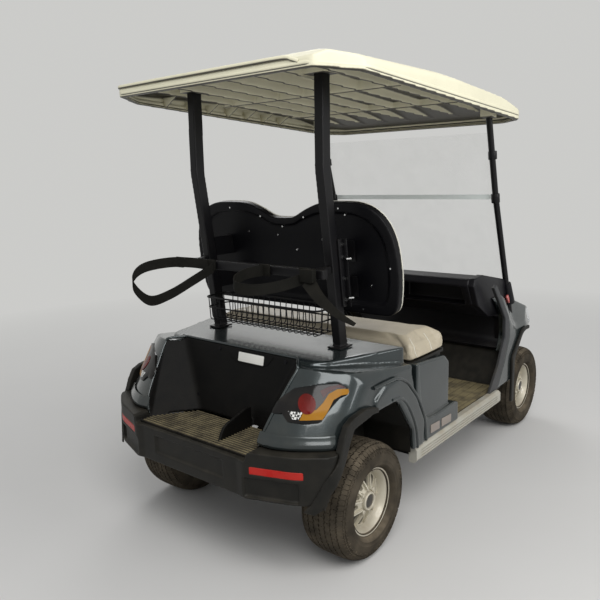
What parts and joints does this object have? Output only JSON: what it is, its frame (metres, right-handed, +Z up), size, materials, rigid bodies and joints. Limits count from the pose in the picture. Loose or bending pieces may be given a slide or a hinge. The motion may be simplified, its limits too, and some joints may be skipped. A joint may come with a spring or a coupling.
{
  "type": "two-seat golf cart",
  "caption": "Electric golf cart with a canopy roof, bench seat, folding-type windscreen, bag well and steered front wheels.",
  "frame": {"origin": "on the ground under the middle of the cart's bounding box", "axes": "+X forward, +Y to the driver's left, +Z up"},
  "size_m": [2.3685, 1.202, 1.8741],
  "materials": {
    "body_paint": "gloss metallic",
    "frame_black": "satin",
    "axle_steel": "dusty",
    "motor_iron": "dusty",
    "battery_case": "matte",
    "black_plastic": "textured",
    "roof_plastic": "satin",
    "strip_grey": "matte",
    "seat_vinyl": "grained",
    "tyre_rubber": "dusty",
    "rim_silver": "satin",
    "screen_glass": "clear",
    "lamp_lens": "clear over red and amber",
    "reflector_red": "gloss",
    "mat_rubber": "dusty",
    "strap_web": "woven"
  },
  "bodies": {
    "root": {"rear_body": "body_paint", "side_panels": "body_paint", "front_body": "body_paint", "chassis_frame": "frame_black", "rear_posts": "frame_black", "front_posts": "frame_black", "seat_brackets": "frame_black", "front_suspension": "frame_black", "leaf_springs": "frame_black", "basket": "frame_black", "rear_axle": "axle_steel", "steering_rack": "axle_steel", "steering_column": "axle_steel", "drive_motor": "motor_iron", "battery_block": "battery_case", "rear_bumper": "black_plastic", "front_bumper": "black_plastic", "arch_trims": "black_plastic", "front_arch_trims": "black_plastic", "bag_well": "black_plastic", "wheel_housings": "black_plastic", "dash": "black_plastic", "seat_back_shell": "black_plastic", "seat_box": "black_plastic", "strap_bar": "black_plastic", "pedals": "black_plastic", "screen_joint": "black_plastic", "floor_pan": "black_plastic", "roof": "roof_plastic", "side_sills": "strip_grey", "leg_trims": "strip_grey", "seat_back_pad": "seat_vinyl", "windscreen_lower": "screen_glass", "windscreen_upper": "screen_glass", "tail_lamps": "lamp_lens", "headlamps": "lamp_lens", "rear_reflectors": "reflector_red", "floor_mat": "mat_rubber", "well_mat": "mat_rubber", "bag_straps": "strap_web"},
    "wheel_rear_left": {"tyre_rear_left": "tyre_rubber", "rim_rear_left": "rim_silver"},
    "wheel_rear_right": {"tyre_rear_right": "tyre_rubber", "rim_rear_right": "rim_silver"},
    "wheel_front_left": {"tyre_front_left": "tyre_rubber", "rim_front_left": "rim_silver"},
    "wheel_front_right": {"tyre_front_right": "tyre_rubber", "rim_front_right": "rim_silver"},
    "knuckle_left": {"knuckle_left": "axle_steel"},
    "knuckle_right": {"knuckle_right": "axle_steel"},
    "tie_rod": {"tie_rod": "axle_steel"},
    "steering_wheel": {"steering_wheel": "black_plastic"},
    "seat_lid": {"seat_board": "black_plastic", "seat_cushion": "seat_vinyl"}
  },
  "joints": [
    {"name": "steer_left", "type": "hinge", "parent": "root", "child": "knuckle_left", "pos_m": [0.895, 0.375, 0.2285], "axis": [0, 0, 1], "range_deg": [-25, 25]},
    {"name": "steer_right", "type": "hinge", "parent": "root", "child": "knuckle_right", "pos_m": [0.895, -0.375, 0.2285], "axis": [0, 0, 1], "range_deg": [-25, 25]},
    {"name": "rod_slide", "type": "slide", "parent": "root", "child": "tie_rod", "axis": [0, 1, 0], "range_m": [-0.05, 0.05]},
    {"name": "wheel_turn", "type": "hinge", "parent": "root", "child": "steering_wheel", "pos_m": [0.15, 0.275, 0.88], "axis": [-0.7071, 0, 0.7071], "range_deg": [-300, 300]},
    {"name": "seat_lift", "type": "hinge", "parent": "root", "child": "seat_lid", "pos_m": [-0.155, 0, 0.69], "axis": [0, 1, 0], "range_deg": [0, 80]},
    {"name": "roll_rear_left", "type": "hinge", "parent": "root", "child": "wheel_rear_left", "pos_m": [-0.755, 0.472, 0.2285], "axis": [0, 1, 0], "continuous": true},
    {"name": "roll_rear_right", "type": "hinge", "parent": "root", "child": "wheel_rear_right", "pos_m": [-0.755, -0.472, 0.2285], "axis": [0, 1, 0], "continuous": true},
    {"name": "roll_front_left", "type": "hinge", "parent": "knuckle_left", "child": "wheel_front_left", "pos_m": [0.895, 0.44, 0.2285], "axis": [0, 1, 0], "continuous": true},
    {"name": "roll_front_right", "type": "hinge", "parent": "knuckle_right", "child": "wheel_front_right", "pos_m": [0.895, -0.44, 0.2285], "axis": [0, 1, 0], "continuous": true}
  ],
  "couplings": [
    {"joint": "steer_right", "follows": "steer_left", "ratio": 1},
    {"joint": "rod_slide", "follows": "steer_left", "m_per_rad": -0.11},
    {"joint": "wheel_turn", "follows": "steer_left", "ratio": 12}
  ]
}
